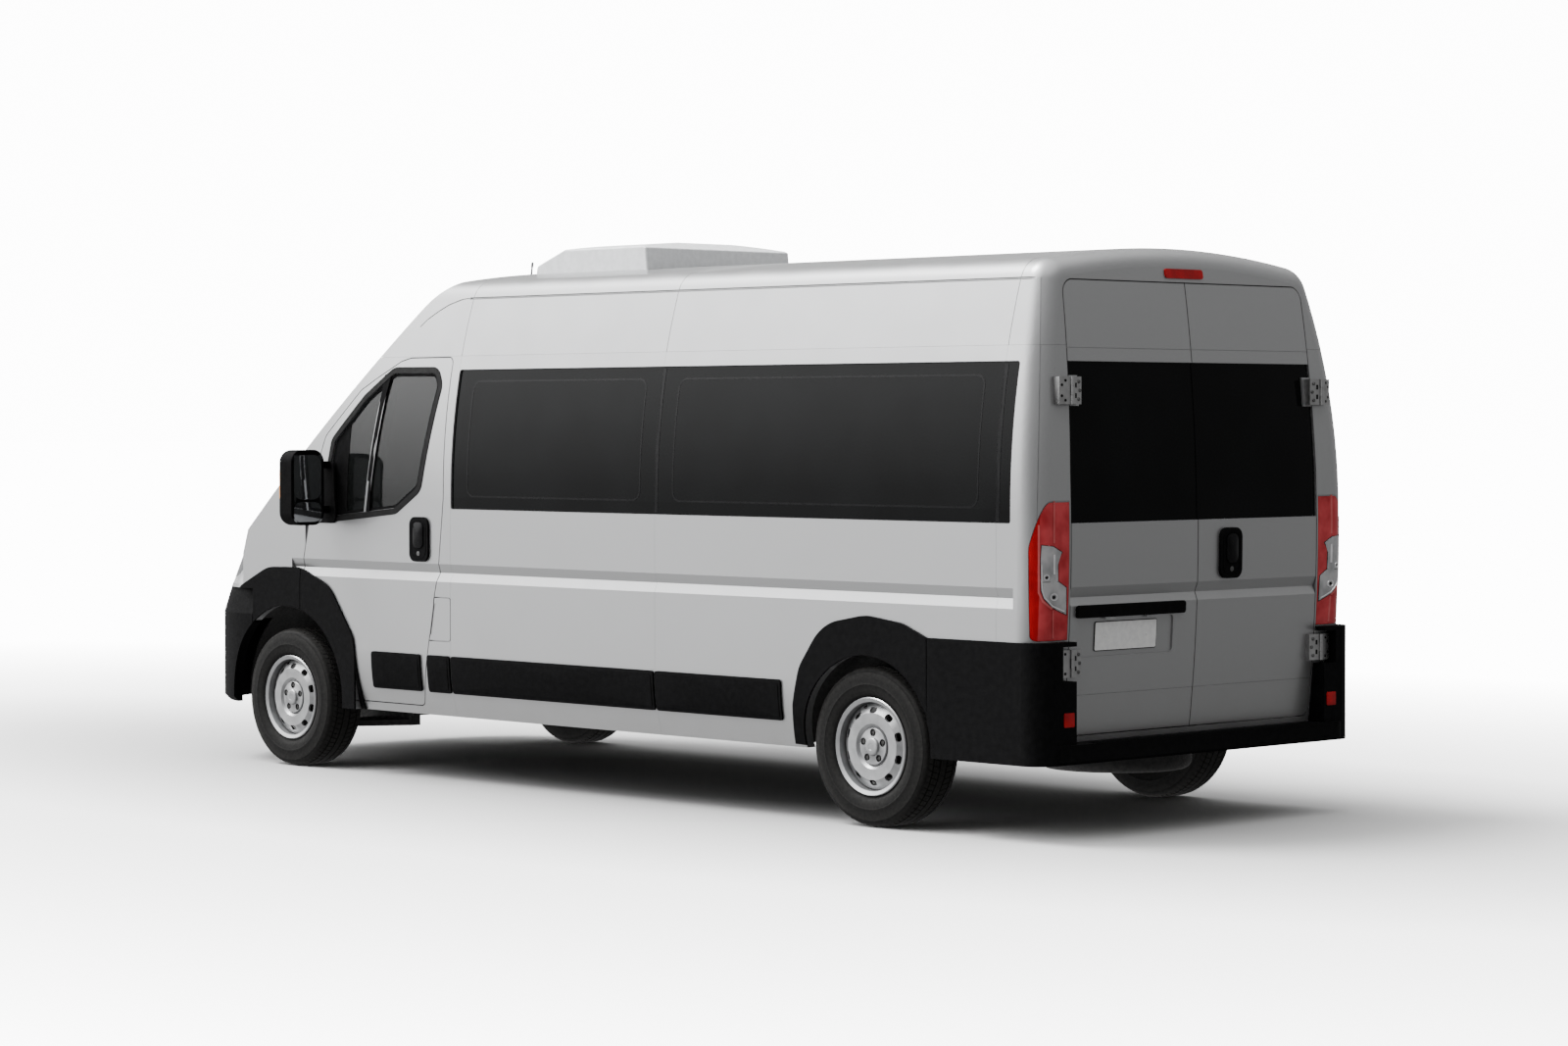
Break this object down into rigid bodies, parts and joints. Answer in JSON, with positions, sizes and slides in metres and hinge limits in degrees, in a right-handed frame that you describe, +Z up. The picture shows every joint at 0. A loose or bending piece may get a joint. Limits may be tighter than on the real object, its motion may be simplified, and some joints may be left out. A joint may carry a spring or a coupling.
{
  "type": "minibus",
  "caption": "Long high-roof minibus with glazed sides, twin rear doors, front doors, bonnet, steered front wheels and rows of seats inside",
  "frame": {"origin": "on the ground, under the middle of the overall length and width", "axes": "+X forward, +Y to the vehicle's left, +Z up"},
  "size_m": [5.998, 2.574, 2.5568],
  "materials": {
    "paint": "light silver gloss paint",
    "privacy_glass": "dark tinted glass",
    "clear_glass": "lightly tinted glass",
    "textured_plastic": "grained black plastic",
    "steel": "bare metal",
    "lamp_red": "red lens with a clear insert",
    "lamp_clear": "clear lens",
    "tyre": "black rubber",
    "wheel_silver": "silver painted steel",
    "chassis_black": "satin black paint",
    "cast_metal": "plain cast metal",
    "seat_fabric": "dark woven cloth",
    "steering_grip": "soft black plastic",
    "roof_unit_plastic": "light grey moulding"
  },
  "bodies": {
    "root": {"high_roof": "paint", "rear_frame": "paint", "left_side_panels": "paint", "right_side_panels": "paint", "cab_frame": "paint", "windscreen": "clear_glass", "side_windows": "privacy_glass", "sliding_door": "paint", "rear_hinge_brackets": "steel", "rear_lamps": "lamp_red", "headlamps": "lamp_clear", "front_wings": "paint", "body_side_trims": "textured_plastic", "front_suspension": "chassis_black", "rear_axle": "chassis_black", "underbody": "chassis_black", "bulkhead_and_wheelhouses": "chassis_black", "fuel_tank_and_spare_wheel": "chassis_black", "engine_and_exhaust": "cast_metal", "dashboard": "textured_plastic", "seats": "seat_fabric", "seat_frames": "chassis_black", "roof_air_conditioner": "roof_unit_plastic", "grille": "textured_plastic", "scuttle_panel": "textured_plastic", "front_bumper": "textured_plastic", "rear_bumper": "textured_plastic"},
    "left_steering": {"left_knuckle": "chassis_black"},
    "right_steering": {"right_knuckle": "chassis_black"},
    "steering_wheel": {"steering_wheel": "steering_grip"},
    "bonnet": {"bonnet": "paint"},
    "fuel_flap": {"fuel_flap": "paint"},
    "front_left_wheel": {"front_left_tyre": "tyre", "front_left_rim": "wheel_silver"},
    "front_right_wheel": {"front_right_tyre": "tyre", "front_right_rim": "wheel_silver"},
    "rear_left_wheel": {"rear_left_tyre": "tyre", "rear_left_rim": "wheel_silver"},
    "rear_right_wheel": {"rear_right_tyre": "tyre", "rear_right_rim": "wheel_silver"},
    "front_left_door": {"front_left_door": "paint", "front_left_door_glass": "clear_glass", "front_left_door_trim": "textured_plastic", "left_mirror": "textured_plastic"},
    "rear_left_door": {"rear_left_door": "paint", "rear_left_door_glass": "privacy_glass", "rear_left_door_fittings": "textured_plastic"},
    "front_right_door": {"front_right_door": "paint", "front_right_door_glass": "clear_glass", "front_right_door_trim": "textured_plastic", "right_mirror": "textured_plastic"},
    "rear_right_door": {"rear_right_door": "paint", "rear_right_door_glass": "privacy_glass", "rear_right_door_fittings": "textured_plastic"}
  },
  "joints": [
    {"name": "steering_wheel_turn", "type": "hinge", "parent": "root", "child": "steering_wheel", "pos_m": [1.415, 0.43, 1.13], "axis": [-0.5299, 0, 0.848], "range_deg": [-540, 540]},
    {"name": "left_steer", "type": "hinge", "parent": "root", "child": "left_steering", "pos_m": [2.051, 0.765, 0.341], "axis": [0, 0, 1], "range_deg": [-35.2, 35.2]},
    {"name": "right_steer", "type": "hinge", "parent": "root", "child": "right_steering", "pos_m": [2.051, -0.765, 0.341], "axis": [0, 0, 1], "range_deg": [-35.2, 35.2]},
    {"name": "front_left_wheel_spin", "type": "hinge", "parent": "left_steering", "child": "front_left_wheel", "pos_m": [2.051, 0.905, 0.341], "axis": [0, 1, 0], "continuous": true},
    {"name": "front_right_wheel_spin", "type": "hinge", "parent": "right_steering", "child": "front_right_wheel", "pos_m": [2.051, -0.905, 0.341], "axis": [0, 1, 0], "continuous": true},
    {"name": "rear_left_wheel_spin", "type": "hinge", "parent": "root", "child": "rear_left_wheel", "pos_m": [-1.984, 0.895, 0.341], "axis": [0, 1, 0], "continuous": true},
    {"name": "rear_right_wheel_spin", "type": "hinge", "parent": "root", "child": "rear_right_wheel", "pos_m": [-1.984, -0.895, 0.341], "axis": [0, 1, 0], "continuous": true},
    {"name": "front_left_door_hinge", "type": "hinge", "parent": "root", "child": "front_left_door", "pos_m": [1.937, 1.033, 1], "axis": [0, 0, -1], "range_deg": [0, 75]},
    {"name": "front_right_door_hinge", "type": "hinge", "parent": "root", "child": "front_right_door", "pos_m": [1.937, -1.033, 1], "axis": [0, 0, 1], "range_deg": [0, 75]},
    {"name": "rear_left_door_hinge", "type": "hinge", "parent": "root", "child": "rear_left_door", "pos_m": [-2.956, 0.812, 1], "axis": [0, 0, -1], "range_deg": [0, 180]},
    {"name": "rear_right_door_hinge", "type": "hinge", "parent": "root", "child": "rear_right_door", "pos_m": [-2.956, -0.812, 1], "axis": [0, 0, 1], "range_deg": [0, 180]},
    {"name": "bonnet_hinge", "type": "hinge", "parent": "root", "child": "bonnet", "pos_m": [2.417, 0, 1.326], "axis": [0, -1, 0], "range_deg": [0, 58]},
    {"name": "fuel_flap_hinge", "type": "hinge", "parent": "root", "child": "fuel_flap", "pos_m": [0.8885, 1.02, 0.873], "axis": [0.1905, 0, -0.9817], "range_deg": [0, 90]}
  ],
  "couplings": [
    {"joint": "left_steer", "follows": "steering_wheel_turn", "ratio": 0.0648},
    {"joint": "right_steer", "follows": "steering_wheel_turn", "ratio": 0.0648}
  ]
}
